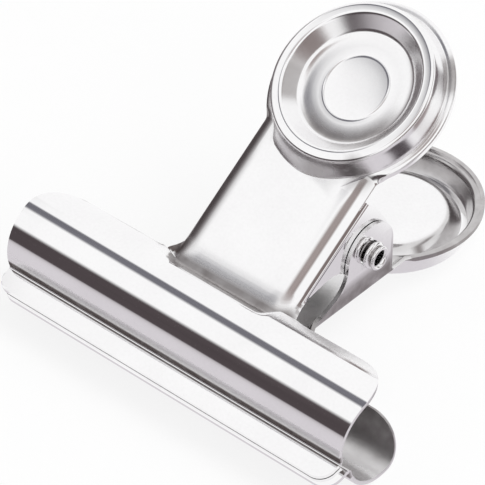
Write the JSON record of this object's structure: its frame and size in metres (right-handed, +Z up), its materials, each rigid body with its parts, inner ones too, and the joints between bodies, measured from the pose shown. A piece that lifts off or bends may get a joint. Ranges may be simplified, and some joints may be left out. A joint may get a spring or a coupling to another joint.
{
  "type": "round binder clip",
  "caption": "Polished metal spring clip with rolled jaws across its front, flat lips that grip paper, and round dished thumb discs on sprung handles hinged on a hollow pin",
  "frame": {"origin": "the middle of the underside of the bounding box: the clip lies on its rear plate, on the rear jaw roll and on the far edge of the rear disc's rim, and Z = 0 is the surface it lies on", "axes": "+X along the pin and the jaw, +Y from the jaw to the thumb discs, +Z up"},
  "size_m": [0.051, 0.053, 0.0314],
  "materials": {
    "polished_nickel": "polished nickel plate on sheet steel",
    "spring_wire": "drawn spring wire, satin"
  },
  "bodies": {
    "rear_body": {"rear_plate": "polished_nickel", "pivot_pin": "polished_nickel", "torsion_spring": "spring_wire"},
    "front_body": {"front_plate": "polished_nickel"}
  },
  "joints": [
    {"name": "jaw_hinge", "type": "hinge", "parent": "rear_body", "child": "front_body", "pos_m": [0, 0.00065, 0.01099], "axis": [-1, 0, 0], "range_deg": [0, 55], "stiffness_Nm_per_rad": 0.21, "springref_deg": -41.25, "deforming": ["torsion_spring"]}
  ]
}
